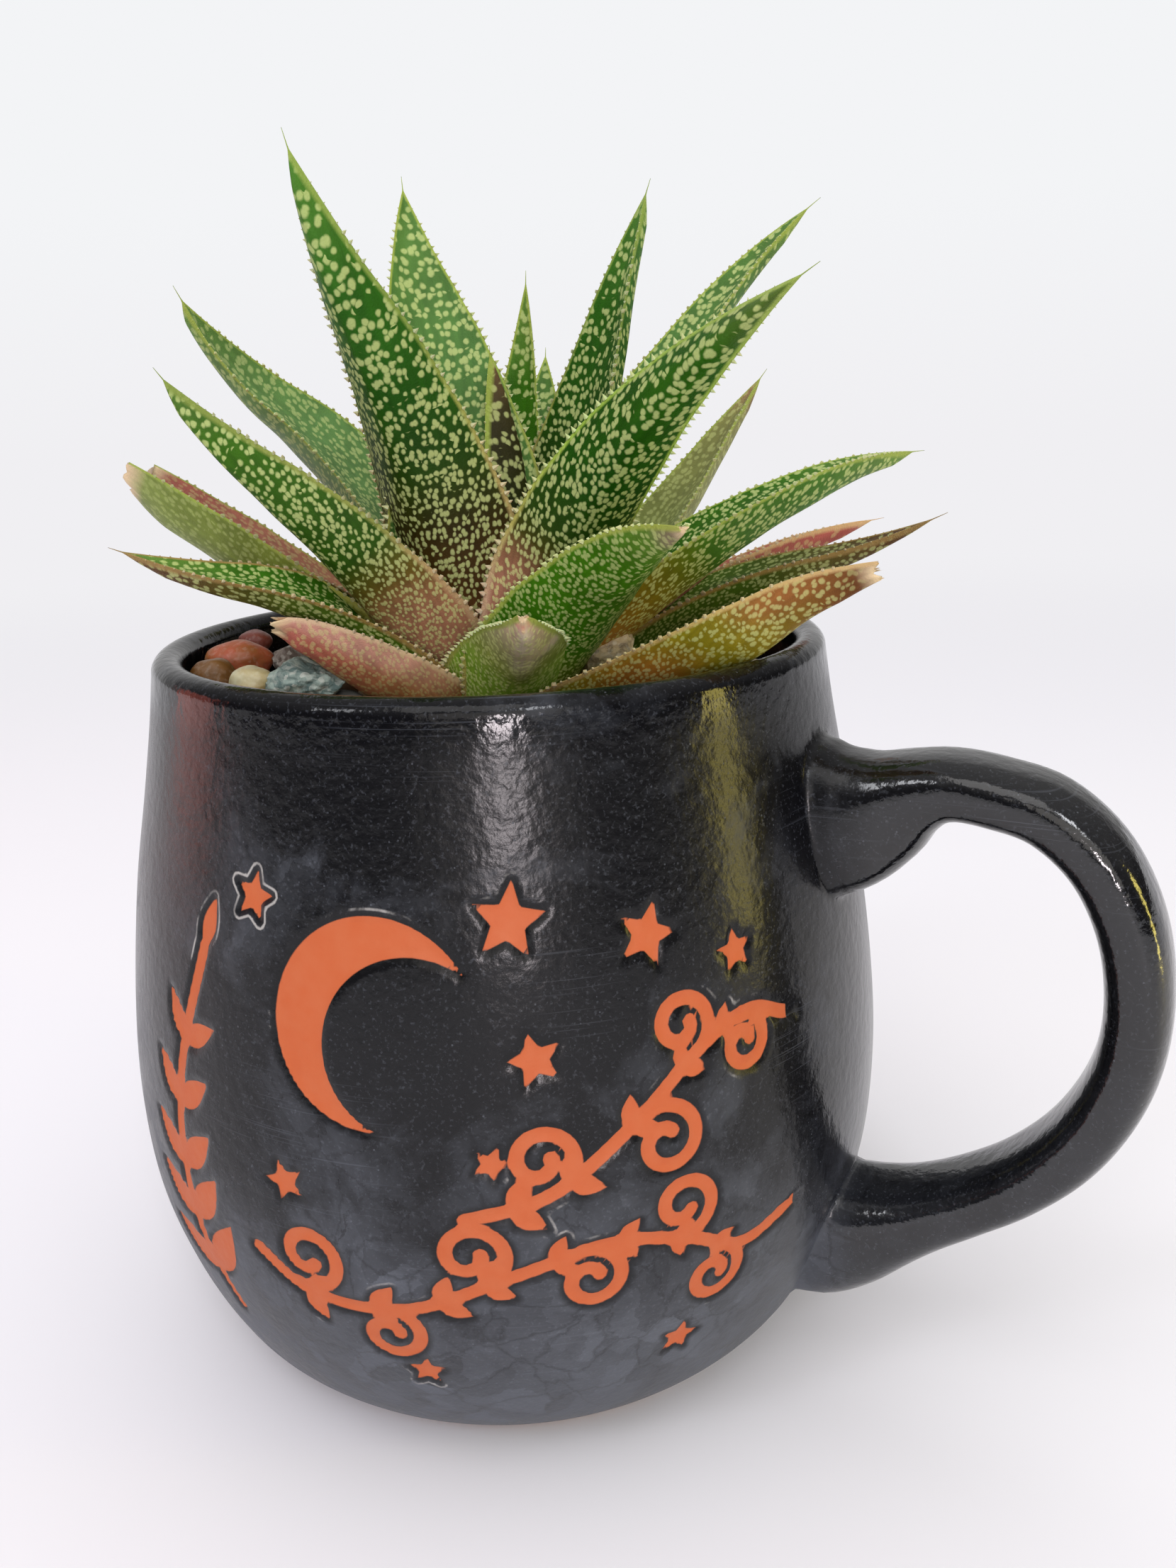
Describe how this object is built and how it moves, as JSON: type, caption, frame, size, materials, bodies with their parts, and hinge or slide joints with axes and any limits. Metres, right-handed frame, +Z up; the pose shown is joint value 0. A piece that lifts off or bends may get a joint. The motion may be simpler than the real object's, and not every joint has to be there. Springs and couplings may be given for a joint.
{
  "type": "potted haworthia",
  "caption": "Rosette succulent with spotted, tooth-edged leaves, growing in gravel in a round-bellied glazed mug with a handle.",
  "frame": {"origin": "middle of the mug's flat unglazed foot, on the surface it stands on", "axes": "+Z up along the mug's axis, +X towards the mug's handle, +Y to the left of the handle seen from above"},
  "size_m": [0.1355, 0.1014, 0.151],
  "materials": {
    "mug_glaze": "black satin glaze, unglazed foot",
    "soil": "loose gritty soil mix",
    "gravel": "washed gravel and pebbles",
    "stem": "dry, fibrous",
    "leaf_green": "waxy succulent leaf, pale spots",
    "leaf_pink": "waxy succulent leaf, reddened by sun"
  },
  "bodies": {
    "root": {"gravel": "gravel", "leaf_bowed_front": "leaf_green", "leaf_broken_front_right": "leaf_green", "leaf_broken_left": "leaf_green", "leaf_centre_back": "leaf_green", "leaf_centre_bud": "leaf_green", "leaf_centre_upright": "leaf_green", "leaf_large_front_right": "leaf_green", "leaf_long_right": "leaf_green", "leaf_low_back": "leaf_green", "leaf_low_back_left": "leaf_green", "leaf_low_back_right": "leaf_green", "leaf_low_left": "leaf_green", "leaf_low_right": "leaf_green", "leaf_middle_back": "leaf_green", "leaf_middle_left": "leaf_green", "leaf_middle_right": "leaf_green", "leaf_olive_back_right": "leaf_green", "leaf_outer_back": "leaf_green", "leaf_pink_front_left": "leaf_pink", "leaf_red_back_right": "leaf_pink", "leaf_short_front": "leaf_green", "leaf_upper_back_left": "leaf_green", "leaf_upper_back_right": "leaf_green", "leaf_upper_front_left": "leaf_green", "leaf_upper_left": "leaf_green", "mug": "mug_glaze", "pebble_brown": "gravel", "pebble_cream": "gravel", "pebble_dark_red": "gravel", "pebble_orange": "gravel", "potting_soil": "soil", "rock_grey": "gravel", "rock_tan": "gravel", "rock_teal": "gravel", "stem": "stem"}
  },
  "joints": []
}
